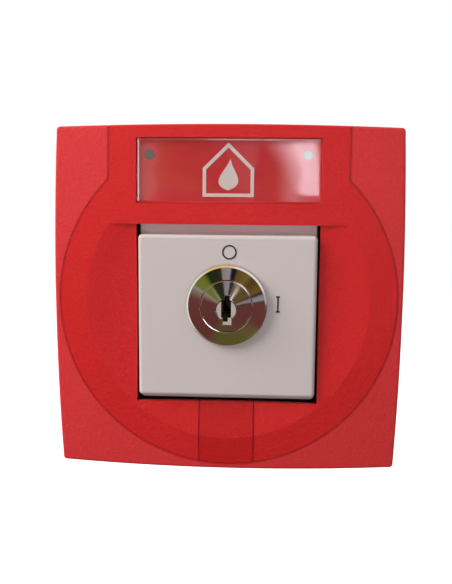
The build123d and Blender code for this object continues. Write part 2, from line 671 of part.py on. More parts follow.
plug_front = bezel_front + 2.1
pit_centre = (0, lock_z - pit_drop)
wafer_depths = [26.6, 29.0, 31.4, 33.8]
with BuildPart() as lock_plug:
    with BuildSketch(Plane.XY.offset(lock_z)):
        with BuildLine():
            Polyline(
                (0, -cam_front),
                (plug_radius - running_play, -cam_front),
                (plug_radius - running_play, -(barrel_back - 1.1)),
                (plug_radius - 0.9, -(barrel_back - 1.1)),
                (plug_radius - 0.9, -(barrel_back - 0.1)),
                (plug_radius - running_play, -(barrel_back - 0.1)),
                (plug_radius - running_play, -(cover_front + 0.1)),
                (head_radius - running_play, -(cover_front + 0.1)),
                (head_radius - running_play, -(bezel_front - 0.2)),
                (head_radius - 0.3, -bezel_front),
                (2.6, -plug_front),
                (0, -plug_front),
                close=True,
            )
        make_face()
    revolve(axis=Axis((0, 0, lock_z), (0, 1, 0)))
    block(-3.5, 3.5, lock_z - 3.5, lock_z + 3.5, cam_back + 0.2, cam_front)
    rods([(0, lock_z)], 1.5, 0, cam_front + 3.0, Mode.SUBTRACT)
    # hollow round the keyway, then the stepped keyway with a shallow notch below it
    with Locations((0, -(plug_front + 0.4 - pit_depth / 2), lock_z - pit_drop)):
        Cone(pit_radius - 0.9, pit_radius + 0.1, pit_depth + 0.8, rotation=(90, 0, 0), mode=Mode.SUBTRACT)
    block(-0.55, 1.35, lock_z + 2.3, lock_z + 4.4, keyway_back, 45, Mode.SUBTRACT)
    block(-1.8, 1.8, lock_z - 4.1, lock_z + 2.4, keyway_back, 45, Mode.SUBTRACT)
    block(-1.2, 0.6, lock_z - 5.6, lock_z - 4.0, keyway_back, 45, Mode.SUBTRACT)
    block(-1.3, 2.0, lock_z - 6.9, lock_z - 4.0, plug_front - 1.9, 45, Mode.SUBTRACT)
    for depth in wafer_depths:
        block(-3.3, 3.3, lock_z - 5.9, lock_z + 5.9, depth, depth + 1.0, Mode.SUBTRACT)
save(lock_plug.part, "lock_plug")

with BuildPart() as tumblers:
    for i, depth in enumerate(wafer_depths):
        block(-3.25, 3.25, lock_z - 5.85, lock_z + 5.85, depth + 0.05, depth + 0.95)
        shift = (0.3, -0.4, 0.1, -0.2)[i]
        block(-1.6, 1.6, lock_z - 4.3 + shift, lock_z + 3.2 + shift, depth, depth + 1, Mode.SUBTRACT)
save(tumblers.part, "tumblers")

with BuildPart() as retaining_ring:
    rods([(0, lock_z)], 8.6, barrel_back - 1.0, barrel_back - 0.2)
    rods([(0, lock_z)], plug_radius - 0.88, 0, case_depth, Mode.SUBTRACT)
    block(-3.0, 3.0, lock_z - 9.5, lock_z - 5.5, 0, case_depth, Mode.SUBTRACT)
save(retaining_ring.part, "retaining_ring")

# cam angles run clockwise from the upper mark, seen from the front
cam_steps = 12
cam_high_radius = cam_low_radius + plunger_travel


def cam_point(degrees, radius):
    return (radius * sin(radians(degrees)), lock_z + radius * cos(radians(degrees)))


ramp = [cam_low_radius + plunger_travel * i / cam_steps for i in range(cam_steps + 1)]
falling = [cam_point(90 * i / cam_steps, ramp[cam_steps - i]) for i in range(cam_steps + 1)]
rising = [cam_point(180 + 90 * i / cam_steps, ramp[i]) for i in range(cam_steps + 1)]
with BuildPart() as switch_cam:
    with BuildSketch(front_plane(cam_back)):
        with BuildLine():
            Spline(*falling)
            ThreePointArc(cam_point(90, cam_low_radius), cam_point(135, cam_low_radius), cam_point(180, cam_low_radius))
            Spline(*rising)
            ThreePointArc(
                cam_point(270, cam_high_radius), cam_point(315, cam_high_radius), cam_point(360, cam_high_radius)
            )
        make_face()
        with Locations((0, lock_z)):
            Rectangle(7.0, 7.0, mode=Mode.SUBTRACT)
    extrude(amount=cam_front - cam_back)
    rods([cam_point(45, 7.2), cam_point(135, 6.8), cam_point(225, 6.8), cam_point(315, 7.2)], 1.2, 0, 40, Mode.SUBTRACT)
save(switch_cam.part, "switch_cam")

with BuildPart() as cam_screw:
    screws([(0, lock_z)], 1.5, cam_front + 2.8, cam_back, 4.6, -1.4, cross=1.8)
save(cam_screw.part, "cam_screw")
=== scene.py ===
import bpy
import bmesh
import json
import math
from mathutils import Matrix, Vector


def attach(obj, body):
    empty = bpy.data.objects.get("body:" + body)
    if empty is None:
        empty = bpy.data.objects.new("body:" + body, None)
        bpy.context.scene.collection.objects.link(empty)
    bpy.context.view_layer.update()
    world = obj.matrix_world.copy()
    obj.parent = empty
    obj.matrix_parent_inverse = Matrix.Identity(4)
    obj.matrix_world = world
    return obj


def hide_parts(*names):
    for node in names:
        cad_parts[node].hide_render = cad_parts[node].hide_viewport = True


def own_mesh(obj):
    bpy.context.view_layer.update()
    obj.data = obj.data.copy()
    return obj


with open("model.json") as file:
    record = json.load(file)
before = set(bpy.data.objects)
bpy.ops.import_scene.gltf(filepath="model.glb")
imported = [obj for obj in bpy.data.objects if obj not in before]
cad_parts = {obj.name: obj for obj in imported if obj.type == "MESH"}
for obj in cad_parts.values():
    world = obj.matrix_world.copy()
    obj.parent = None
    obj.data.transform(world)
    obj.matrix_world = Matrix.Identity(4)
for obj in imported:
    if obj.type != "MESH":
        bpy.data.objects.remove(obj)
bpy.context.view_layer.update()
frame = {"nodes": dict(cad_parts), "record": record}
nodes = frame["nodes"]
slotOf = {row["node"]: row["material_slot"] for row in frame["record"]["subparts"]}
mm = 0.001

# the joint round the door and the release tab, in metres from the middle of the case
joint = dict(
    radius=0.06445, band=0.04535, bandFoot=0.0458, tab=0.01065, tabTop=-0.038, gap=0.00036, back=-0.0265,
)


def addNode(tree, kind, where=(0, 0), **values):
    node = tree.nodes.new(kind)
    node.location = where
    for name, value in values.items():
        setattr(node, name, value)
    return node


def feed(tree, source, target):
    tree.links.new(source, target)


# a number or a colour goes straight on the socket, an output is linked to it
def give(tree, socket, value):
    if isinstance(value, (int, float)):
        socket.default_value = value
    elif isinstance(value, tuple):
        socket.default_value = (*value[:3], 1)
    else:
        feed(tree, value, socket)


def mathNode(tree, operation, *values, where=(0, 0), clamp=False):
    node = addNode(tree, "ShaderNodeMath", where, operation=operation, use_clamp=clamp)
    for socket, value in zip(node.inputs, values):
        give(tree, socket, value)
    return node.outputs[0]


def blendColour(tree, factor, low, high, where=(0, 0), kind="MIX"):
    node = addNode(tree, "ShaderNodeMix", where, data_type="RGBA", blend_type=kind)
    for index, value in ((0, factor), (6, low), (7, high)):
        give(tree, node.inputs[index], value)
    return node.outputs[2]


# 0 to 1 as a value goes from one limit to the other
def ramp(tree, value, low, high, where=(0, 0), kind="SMOOTHSTEP"):
    node = addNode(tree, "ShaderNodeMapRange", where, interpolation_type=kind)
    feed(tree, value, node.inputs["Value"])
    node.inputs["From Min"].default_value = low
    node.inputs["From Max"].default_value = high
    return node.outputs[0]


def ownPlace(tree, where=(-900, 0)):
    return addNode(tree, "ShaderNodeTexCoord", where).outputs["Object"]


def cloudNode(tree, place, scale, detail=2.0, roughness=0.5, where=(0, 0)):
    node = addNode(tree, "ShaderNodeTexNoise", where)
    feed(tree, place, node.inputs["Vector"])
    give(tree, node.inputs["Scale"], scale)
    node.inputs["Detail"].default_value = detail
    node.inputs["Roughness"].default_value = roughness
    return node.outputs["Fac"]


def splitNode(tree, vector, where=(0, 0)):
    node = addNode(tree, "ShaderNodeSeparateXYZ", where)
    feed(tree, vector, node.inputs[0])
    return node.outputs


def newGroup(name, inputs, outputs):
    tree = bpy.data.node_groups.new(name, "ShaderNodeTree")
    for label, default in inputs.items():
        socket = tree.interface.new_socket(name=label, in_out="INPUT", socket_type="NodeSocketFloat")
        socket.default_value = default
    for label in outputs:
        tree.interface.new_socket(name=label, in_out="OUTPUT", socket_type="NodeSocketFloat")
    return tree, addNode(tree, "NodeGroupInput", (-900, 0)), addNode(tree, "NodeGroupOutput", (700, 0))


# fine spark-eroded grain of the moulds: two sizes of pits as a height, a cloudy tone and small darker specks
def mouldGrainGroup():
    tree, start, end = newGroup("mouldGrain", {"Size": 2200.0}, ["Height", "Mottle", "Speckle"])
    place = ownPlace(tree, (-1100, 250))
    size = start.outputs["Size"]
    fine = cloudNode(tree, place, size, 3.0, 0.6, where=(-600, 200))
    coarse = addNode(tree, "ShaderNodeTexVoronoi", (-600, -100), feature="SMOOTH_F1")
    feed(tree, place, coarse.inputs["Vector"])
    feed(tree, mathNode(tree, "MULTIPLY", size, 0.45, where=(-760, -100)), coarse.inputs["Scale"])
    both = mathNode(tree, "ADD", fine, coarse.outputs["Distance"], where=(-350, 60))
    feed(tree, both, end.inputs["Height"])
    feed(tree, cloudNode(tree, place, 38.0, 4.0, where=(-600, -380)), end.inputs["Mottle"])
    dotSize = mathNode(tree, "MULTIPLY", size, 0.5, where=(-760, -620))
    dots = cloudNode(tree, place, dotSize, where=(-600, -620))
    feed(tree, ramp(tree, dots, 0.36, 0.64, (-350, -620), "LINEAR"), end.inputs["Speckle"])
    return tree


# grime that settles in the joint round the door and beside the release tab, with painted shade darkening the
# groove along it
def jointShadeAndGrimeGroup():
    lines = {"Radius": joint["radius"], "Band": joint["band"], "Tab": joint["tab"]}
    tree, start, end = newGroup("jointShadeAndGrime", {**lines, "Width": 0.0005, "Back": joint["back"]}, ["Mask"])
    given = start.outputs
    across, away, upward = splitNode(tree, ownPlace(tree, (-1300, 0)), (-1150, 0))

    def distance(value, line):
        return mathNode(tree, "ABSOLUTE", mathNode(tree, "SUBTRACT", value, given[line]))

    side = mathNode(tree, "ABSOLUTE", across)
    acrossSquare = mathNode(tree, "MULTIPLY", across, across)
    upwardSquare = mathNode(tree, "MULTIPLY", upward, upward)
    reach = mathNode(tree, "SQRT", mathNode(tree, "ADD", acrossSquare, upwardSquare))
    # each line counts only where it runs: a whole metre is added to its distance elsewhere
    high = mathNode(tree, "GREATER_THAN", upward, joint["bandFoot"])
    low = mathNode(tree, "SUBTRACT", 1.0, high)
    circleGap = mathNode(tree, "ADD", distance(reach, "Radius"), high)
    bandGap = mathNode(tree, "ADD", distance(side, "Band"), low)
    outside = mathNode(tree, "GREATER_THAN", reach, mathNode(tree, "ADD", given["Radius"], 0.0003))
    overTab = mathNode(tree, "GREATER_THAN", upward, joint["tabTop"])
    tabGap = mathNode(tree, "ADD", distance(side, "Tab"), mathNode(tree, "ADD", outside, overTab))
    nearest = mathNode(tree, "MINIMUM", circleGap, mathNode(tree, "MINIMUM", bandGap, tabGap))
    # the joint is only in the front of the case
    behind = mathNode(tree, "GREATER_THAN", away, given["Back"])
    nearest = mathNode(tree, "ADD", nearest, behind)
    share = mathNode(tree, "DIVIDE", nearest, given["Width"])
    feed(tree, ramp(tree, share, 1.5, 0.6, (300, 0)), end.inputs["Mask"])
    return tree


# light rubbed edges: where the rounded normal leaves the flat one
def edgeWearGroup():
    tree, start, end = newGroup("edgeWear", {"Width": 0.0004, "Patchy": 0.5}, ["Mask"])
    soft = addNode(tree, "ShaderNodeBevel", (-650, 120), samples=6)
    feed(tree, start.outputs["Width"], soft.inputs["Radius"])
    plain = addNode(tree, "ShaderNodeNewGeometry", (-650, -80))
    match = addNode(tree, "ShaderNodeVectorMath", (-430, 60), operation="DOT_PRODUCT")
    feed(tree, soft.outputs["Normal"], match.inputs[0])
    feed(tree, plain.outputs["Normal"], match.inputs[1])
    away = mathNode(tree, "SUBTRACT", 1.0, match.outputs["Value"], where=(-230, 60))
    strong = mathNode(tree, "MULTIPLY", away, 9.0, where=(-60, 60), clamp=True)
    cloud = cloudNode(tree, ownPlace(tree, (-850, -300)), 190.0, where=(-650, -300))
    patch = mathNode(tree, "MULTIPLY", cloud, start.outputs["Patchy"], where=(-230, -240))
    feed(tree, mathNode(tree, "MULTIPLY", strong, patch, where=(200, 0)), end.inputs["Mask"])
    return tree


mouldGrain = mouldGrainGroup()
jointShadeAndGrime = jointShadeAndGrimeGroup()
edgeWear = edgeWearGroup()


def useGroup(tree, group, where=(0, 0), **values):
    node = addNode(tree, "ShaderNodeGroup", where, node_tree=group)
    for name, value in values.items():
        node.inputs[name].default_value = value
    return node.outputs


def newMaterial(name):
    material = bpy.data.materials.new(name)
    material.use_nodes = True
    tree = material.node_tree
    tree.nodes.clear()
    shader = addNode(tree, "ShaderNodeBsdfPrincipled", (400, 0))
    output = addNode(tree, "ShaderNodeOutputMaterial", (700, 0))
    feed(tree, shader.outputs[0], output.inputs[0])
    return material, tree, shader


# relief in the normal, over edges that look rounded by a small radius
def addRelief(tree, shader, height, strength, depth, edge=0.0):
    bump = addNode(tree, "ShaderNodeBump", (100, -300))
    bump.inputs["Strength"].default_value = strength
    bump.inputs["Distance"].default_value = depth
    feed(tree, height, bump.inputs["Height"])
    if edge:
        soft = addNode(tree, "ShaderNodeBevel", (-100, -420), samples=6)
        soft.inputs["Radius"].default_value = edge
        feed(tree, soft.outputs["Normal"], bump.inputs["Normal"])
    feed(tree, bump.outputs["Normal"], shader.inputs["Normal"])


# moulded plastic of any colour, with grain, cloudy tone and rubbed edges
def mouldedPlastic(name, look):
    material, tree, shader = newMaterial(name)
    grain = useGroup(tree, mouldGrain, (-500, -100), Size=look["grainSize"])
    wear = useGroup(tree, edgeWear, (-500, 250), Width=look["wearWidth"], Patchy=look["wear"])
    tone = blendColour(tree, grain["Mottle"], look["shade"], look["colour"], (-200, 150))
    dotted = blendColour(tree, 1.0, tone, (look["dots"],) * 3, (-200, 0), "MULTIPLY")
    tone = blendColour(tree, grain["Speckle"], dotted, tone, (-60, 100))
    # grime and painted shade along the joint: the red is darkened in a narrow band
    if "grimeAndShade" in look:
        shadeAndDirt = useGroup(tree, jointShadeAndGrime, (-500, 450))
        shadedAndStained = blendColour(tree, 1.0, tone, look["grimeAndShade"], (-200, 350), "MULTIPLY")
        tone = blendColour(tree, shadeAndDirt["Mask"], tone, shadedAndStained, (-40, 300))
    worn = blendColour(tree, wear["Mask"], tone, look["worn"], (50, 200))
    feed(tree, worn, shader.inputs["Base Color"])
    spread = mathNode(tree, "MULTIPLY", grain["Mottle"], look["roughSpread"], where=(50, -80))
    rough = mathNode(tree, "ADD", spread, look["rough"], where=(200, -80))
    feed(tree, rough, shader.inputs["Roughness"])
    shader.inputs["IOR"].default_value = 1.5
    addRelief(tree, shader, grain["Height"], look["grain"], look["grainDepth"], look["edge"])
    return material


doorLook = dict(
    colour=(0.78, 0.016, 0.017), shade=(0.71, 0.012, 0.013), worn=(0.84, 0.12, 0.10), grimeAndShade=(0.80, 0.5, 0.5),
    grainSize=2100, grain=0.9, grainDepth=0.00014, dots=0.92,
    rough=0.44, roughSpread=0.10, edge=0.00012, wearWidth=0.0004, wear=0.22,
)
# the case's red is painted paler and less saturated than the door's: painted sheen
frameSheenLook = dict(
    doorLook, colour=(0.85, 0.044, 0.048), shade=(0.78, 0.035, 0.039), worn=(0.88, 0.17, 0.15), rough=0.50,
)
# the release tab's red is painted darker than the door's: painted shade
tabShadedLook = dict(doorLook, colour=(0.68, 0.009, 0.010), shade=(0.62, 0.007, 0.008), rough=0.42)
whiteLook = dict(
    colour=(0.755, 0.685, 0.665), shade=(0.715, 0.645, 0.63), worn=(0.86, 0.80, 0.78),
    grainSize=3600, grain=0.3, grainDepth=0.00005, dots=0.97,
    rough=0.36, roughSpread=0.08, edge=0.0003, wearWidth=0.0004, wear=0.3,
)
# the carrier's white is painted lighter and pinker than the other white plastic: painted light on a part
# that sits in shade behind the door
carrierLitLook = dict(whiteLook, colour=(0.90, 0.79, 0.80), shade=(0.85, 0.74, 0.75))
blackLook = dict(
    colour=(0.022, 0.022, 0.024), shade=(0.015, 0.015, 0.016), worn=(0.1, 0.1, 0.1),
    grainSize=3000, grain=0.4, grainDepth=0.00005, dots=0.93,
    rough=0.42, roughSpread=0.1, edge=0.0001, wearWidth=0.0003, wear=0.3,
)
greenLook = dict(
    blackLook, colour=(0.03, 0.22, 0.07), shade=(0.022, 0.18, 0.055), worn=(0.2, 0.4, 0.22),
    grain=0.3, rough=0.38,
)


# metals: fine turned or plated surface
def metal(name, look):
    material, tree, shader = newMaterial(name)
    place = ownPlace(tree)
    cloud = cloudNode(tree, place, look["cloudSize"], 5.0, where=(-650, 100))
    tone = blendColour(tree, cloud, look["shade"], look["colour"], (-250, 200))
    if "shadeAndGreaseBehind" in look:  # old grease and painted shade deep down the keyway
        across, away, upward = splitNode(tree, place, (-700, 420))
        deep = mathNode(tree, "GREATER_THAN", away, look["shadeAndGreaseBehind"], where=(-500, 420))
        side = mathNode(tree, "ABSOLUTE", across, where=(-600, 560))
        narrow = mathNode(tree, "LESS_THAN", side, look["shadeAndGreaseWidth"], where=(-500, 560))
        tone = blendColour(tree, mathNode(tree, "MULTIPLY", deep, narrow), tone, look["shadeAndGrease"])
    feed(tree, tone, shader.inputs["Base Color"])
    rough = mathNode(tree, "MULTIPLY_ADD", cloud, look["roughSpread"], look["rough"], where=(-250, -50))
    feed(tree, rough, shader.inputs["Roughness"])
    shader.inputs["Metallic"].default_value = 1.0
    scratch = cloudNode(tree, place, look["scratchSize"], where=(-650, -250))
    addRelief(tree, shader, scratch, look["grain"], 0.00002, look["edge"])
    return material


chromeLook = dict(
    colour=(0.66, 0.63, 0.60), shade=(0.60, 0.57, 0.54), rough=0.04, roughSpread=0.05,
    cloudSize=160, grain=0.05, scratchSize=900, edge=0.00012,
)
# the plug's keyway is painted near black past a depth: old grease and painted shade
plugLook = dict(
    chromeLook, colour=(0.62, 0.60, 0.58), shade=(0.55, 0.53, 0.51), rough=0.05, roughSpread=0.06,
    shadeAndGreaseBehind=-0.0404, shadeAndGreaseWidth=0.0024, shadeAndGrease=(0.012, 0.011, 0.010),
)
zincLook = dict(
    colour=(0.55, 0.55, 0.53), shade=(0.42, 0.43, 0.43), rough=0.28, roughSpread=0.2,
    cloudSize=500, grain=0.3, scratchSize=4000, edge=0.00008,
)
springLook = dict(
    colour=(0.5, 0.5, 0.5), shade=(0.4, 0.4, 0.4), rough=0.2, roughSpread=0.15,
    cloudSize=400, grain=0.2, scratchSize=3000, edge=0.00003,
)
brassLook = dict(
    colour=(0.72, 0.52, 0.22), shade=(0.58, 0.40, 0.16), rough=0.25, roughSpread=0.2,
    cloudSize=400, grain=0.3, scratchSize=3000, edge=0.00006,
)
# tumbler brass darkened all over: old grease and painted shade inside the keyway
greasyShadedLook = dict(brassLook, colour=(0.10, 0.07, 0.03), shade=(0.05, 0.035, 0.015), rough=0.45)

clearLook = dict(tint=(1.0, 0.985, 0.98), haze=0.05, smearSize=70.0, shadowTint=(0.94, 0.93, 0.93))


# clear moulding: real glass-like surface for the eye, but it lets the light through to the card
def clearCover(name, look):
    material, tree, shader = newMaterial(name)
    shader.inputs["Base Color"].default_value = (*look["tint"], 1)
    shader.inputs["Transmission Weight"].default_value = 1.0
    shader.inputs["IOR"].default_value = 1.49
    smear = cloudNode(tree, ownPlace(tree), look["smearSize"], 5.0, where=(-650, 0))
    rough = mathNode(tree, "MULTIPLY", smear, look["haze"], where=(-250, -50))
    feed(tree, rough, shader.inputs["Roughness"])
    path = addNode(tree, "ShaderNodeLightPath", (100, 420))
    through = addNode(tree, "ShaderNodeBsdfTransparent", (400, 200))
    through.inputs["Color"].default_value = (*look["shadowTint"], 1)
    shadow, diffuse = path.outputs["Is Shadow Ray"], path.outputs["Is Diffuse Ray"]
    passing = mathNode(tree, "MAXIMUM", shadow, diffuse, where=(300, 420))
    mix = addNode(tree, "ShaderNodeMixShader", (620, 120))
    feed(tree, passing, mix.inputs[0])
    feed(tree, shader.outputs[0], mix.inputs[1])
    feed(tree, through.outputs[0], mix.inputs[2])
    output = next(node for node in tree.nodes if node.type == "OUTPUT_MATERIAL")
    output.location = (850, 0)
    feed(tree, mix.outputs[0], output.inputs[0])
    return material


# card, print and lacquer: a fine fibre in tone, gloss and relief
def printedCard(name, look):
    material, tree, shader = newMaterial(name)
    fibre = cloudNode(tree, ownPlace(tree), 1800.0, 6.0, where=(-650, 0))
    tone = blendColour(tree, fibre, look["shade"], look["colour"], (-250, 150))
    feed(tree, tone, shader.inputs["Base Color"])
    spread = mathNode(tree, "MULTIPLY_ADD", fibre, 0.12, look["rough"], where=(-250, -60))
    feed(tree, spread, shader.inputs["Roughness"])
    addRelief(tree, shader, fibre, 0.25, 0.00002)
    return material


printLooks = dict(
    redCard=dict(colour=(0.63, 0.030, 0.034), shade=(0.57, 0.025, 0.029), rough=0.55),
    lightPrint=dict(colour=(0.86, 0.76, 0.72), shade=(0.80, 0.70, 0.66), rough=0.55),
    darkPrint=dict(colour=(0.008, 0.008, 0.009), shade=(0.005, 0.005, 0.006), rough=0.6),
    guideDark=dict(colour=(0.10, 0.10, 0.08), shade=(0.06, 0.062, 0.05), rough=0.3),
    guideGreen=dict(colour=(0.34, 0.46, 0.38), shade=(0.27, 0.38, 0.31), rough=0.2),
    boardResist=dict(colour=(0.01, 0.16, 0.05), shade=(0.008, 0.12, 0.04), rough=0.3),
    ledClear=dict(colour=(0.6, 0.66, 0.6), shade=(0.5, 0.58, 0.5), rough=0.15),
    resistorLacquer=dict(colour=(0.5, 0.36, 0.2), shade=(0.42, 0.3, 0.16), rough=0.3),
)
prints = {name: printedCard(name, look) for name, look in printLooks.items()}
zincSteel = metal("zincSteel", zincLook)
steelSpring = metal("steelSpring", springLook)
frameSheenPlastic = mouldedPlastic("redFramePaintedSheen", frameSheenLook)

# the finish of each material slot, then the pieces that differ from their slot
finishes = {
    "red_plastic": mouldedPlastic("redDoorPlastic", doorLook),
    "white_plastic": mouldedPlastic("whitePlastic", whiteLook),
    "black_plastic": mouldedPlastic("blackPlastic", blackLook),
    "green_plastic": mouldedPlastic("greenPlastic", greenLook),
    "chrome": metal("brightChrome", chromeLook),
    "brass": metal("yellowBrass", brassLook),
    "steel": zincSteel,
    "clear": clearCover("clearCoverPlastic", clearLook),
    "red_card": prints["redCard"],
    "print_light": prints["lightPrint"],
    "print_dark": prints["darkPrint"],
    "guide_dark": prints["guideDark"],
    "guide_green": prints["guideGreen"],
    "board": prints["boardResist"],
    "led": prints["ledClear"],
    "resistor": prints["resistorLacquer"],
}
ownFinish = {
    "front_frame": frameSheenPlastic,
    "back_box": frameSheenPlastic,
    "door_latch": mouldedPlastic("redTabPaintedShade", tabShadedLook),
    "insert_base": mouldedPlastic("whiteCarrierPaintedLight", carrierLitLook),
    "lock_plug": metal("plugChrome", plugLook),
    "tumblers": metal("greasyShadedBrass", greasyShadedLook),
}
for name, piece in nodes.items():
    piece.data.materials.clear()
    piece.data.materials.append(ownFinish.get(name, finishes[slotOf[name]]))
print("materials ready")


def newPiece(name, mesh):
    mesh.name = name
    piece = bpy.data.objects.new(name, mesh)
    bpy.context.scene.collection.objects.link(piece)
    return piece


def standIn(piece, node, body):
    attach(piece, body)
    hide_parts(node)


# joins loose triangles, then the ones that lie flat within a limit in degrees
def mergeTriangles(mesh, flat=0.0):
    work = bmesh.new()
    work.from_mesh(mesh)
    bmesh.ops.remove_doubles(work, verts=work.verts, dist=0.000002)
    if flat:
        bmesh.ops.dissolve_limit(work, angle_limit=math.radians(flat), verts=work.verts, edges=work.edges)
    work.to_mesh(mesh)
    work.free()


# joins loose triangles and keeps the shading they had
def mergeShaded(mesh):
    shades = [corner.vector.copy() for corner in mesh.corner_normals]
    carried = mesh.attributes.new("shade", "FLOAT_VECTOR", "CORNER")
    for item, shade in zip(carried.data, shades):
        item.vector = shade
    mergeTriangles(mesh)
    kept = [item.vector.copy() for item in mesh.attributes["shade"].data]
    mesh.attributes.remove(mesh.attributes["shade"])
    mesh.shade_smooth()
    mesh.normals_split_custom_set(kept)


window = dict(edge=0.0004, steps=3, flat=0.6, roundFrom=40, sharpFrom=35)


# the clear cover of the label, with its edges rounded in the mesh
def addClearWindow():
    mesh = nodes["label_cover"].data.copy()
    mergeTriangles(mesh, window["flat"])
    mesh.shade_smooth()
    mesh.set_sharp_from_angle(angle=math.radians(window["sharpFrom"]))
    piece = newPiece("clearWindow", mesh)
    soft = piece.modifiers.new("roundedEdges", "BEVEL")
    soft.width = window["edge"]
    soft.segments = window["steps"]
    soft.limit_method = "ANGLE"
    soft.angle_limit = math.radians(window["roundFrom"])
    soft.use_clamp_overlap = True
    standIn(piece, "label_cover", "door")


addClearWindow()
print("label cover ready")

slide = next(row for row in frame["record"]["behaviour"]["joints"] if row["name"] == "latch_slide")
spring = dict(seat=slide["deforming_nodes"][0]["fixed_end_z_m"], travel=slide["range_m"][1], sharpFrom=50)


# the latch spring shortens against its upper seat as the tab rises; here it is a merged, smoothly shaded
# copy that rides with the door and is not shortened
def addSpring():
    mesh = nodes["latch_spring"].data.copy()
    mergeTriangles(mesh)
    mesh.shade_smooth()
    mesh.set_sharp_from_angle(angle=math.radians(spring["sharpFrom"]))
    mesh.materials.clear()
    mesh.materials.append(steelSpring)
    piece = newPiece("returnSpring", mesh)
    standIn(piece, "latch_spring", "door")
    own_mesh(piece)


addSpring()
print("latch spring ready")

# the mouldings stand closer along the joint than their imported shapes, by this much each
closer = dict(wall=0.00011, tab=0.000077, reach=0.00003, bandFrom=0.045)


# outward is 1 for the inner piece of the joint and -1 for the outer one
def closeJoint(name, node, body, outward, tabOutward=0):
    mesh = nodes[node].data.copy()
    half = joint["gap"] / 2
    wallRadius = joint["radius"] - outward * half
    wallSide = joint["band"] - outward * half
    tabSide = joint["tab"] - tabOutward * half
    for vertex in mesh.vertices:
        x, y, z = vertex.co
        distance = math.hypot(x, z)
        if abs(distance - wallRadius) < closer["reach"]:
            grow = 1 + outward * closer["wall"] / distance
            vertex.co = (x * grow, y, z * grow)
        elif z > closer["bandFrom"] and abs(abs(x) - wallSide) < closer["reach"]:
            vertex.co.x = math.copysign(abs(x) + outward * closer["wall"], x)
        if tabOutward and z < joint["tabTop"] and abs(abs(x) - tabSide) < closer["reach"]:
            vertex.co.x = math.copysign(abs(x) + tabOutward * closer["tab"], x)
    mergeShaded(mesh)
    standIn(newPiece(name, mesh), node, body)


closeJoint("housingFrame", "front_frame", "housing", -1)
closeJoint("doorShell", "front_door", "door", 1, -1)
closeJoint("releaseTab", "door_latch", "latch", 1, 1)
print("mouldings ready")

# shares of the shank's radius, and the number of facets
thread = dict(core=0.82, ridge=0.17, coreSides=28, ridgeSides=4, turnSteps=20, headSides=40, headRings=16)


